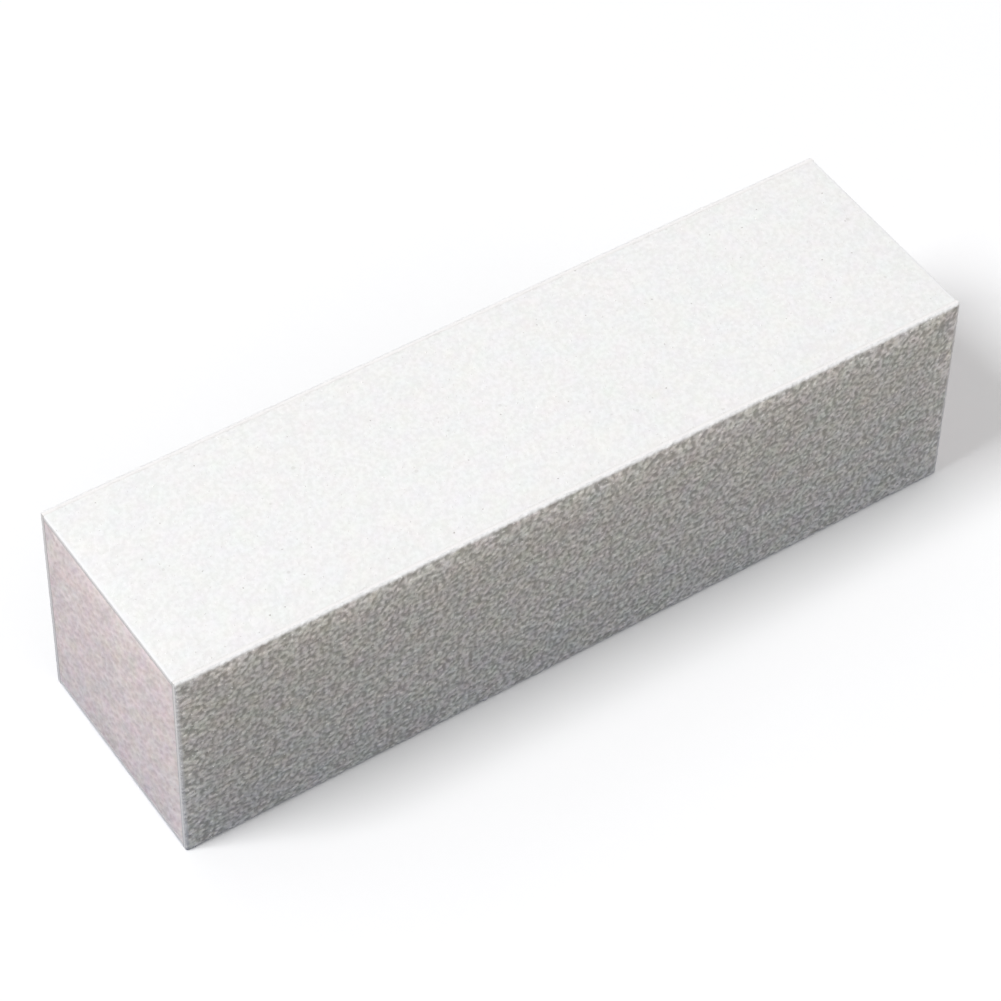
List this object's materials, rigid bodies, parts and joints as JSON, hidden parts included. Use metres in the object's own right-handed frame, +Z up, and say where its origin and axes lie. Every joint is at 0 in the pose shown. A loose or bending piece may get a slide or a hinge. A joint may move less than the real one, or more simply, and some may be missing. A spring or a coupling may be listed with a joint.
{
  "type": "nail buffer block",
  "caption": "Square foam nail buffer block with a fine abrasive strip glued along each long face and bare foam at both ends.",
  "frame": {"origin": "centre of the block's bottom face", "axes": "+X along the block's length, +Y across it towards the rear strip, +Z up towards the top strip"},
  "size_m": [0.09, 0.025, 0.025],
  "materials": {
    "foam": "soft closed-cell EVA foam, knife-cut, matte, faintly pinkish white",
    "adhesive": "thin cured contact adhesive, slightly yellowish, dull",
    "backing_paper": "off-white abrasive backing paper, matte",
    "abrasive": "fine white abrasive grain set in white resin, matte, pebbled"
  },
  "bodies": {
    "root": {"foam_core": "foam", "top_adhesive_film": "adhesive", "top_backing_sheet": "backing_paper", "top_abrasive_coat": "abrasive", "bottom_adhesive_film": "adhesive", "bottom_backing_sheet": "backing_paper", "bottom_abrasive_coat": "abrasive", "front_adhesive_film": "adhesive", "front_backing_sheet": "backing_paper", "front_abrasive_coat": "abrasive", "rear_adhesive_film": "adhesive", "rear_backing_sheet": "backing_paper", "rear_abrasive_coat": "abrasive"}
  },
  "joints": []
}
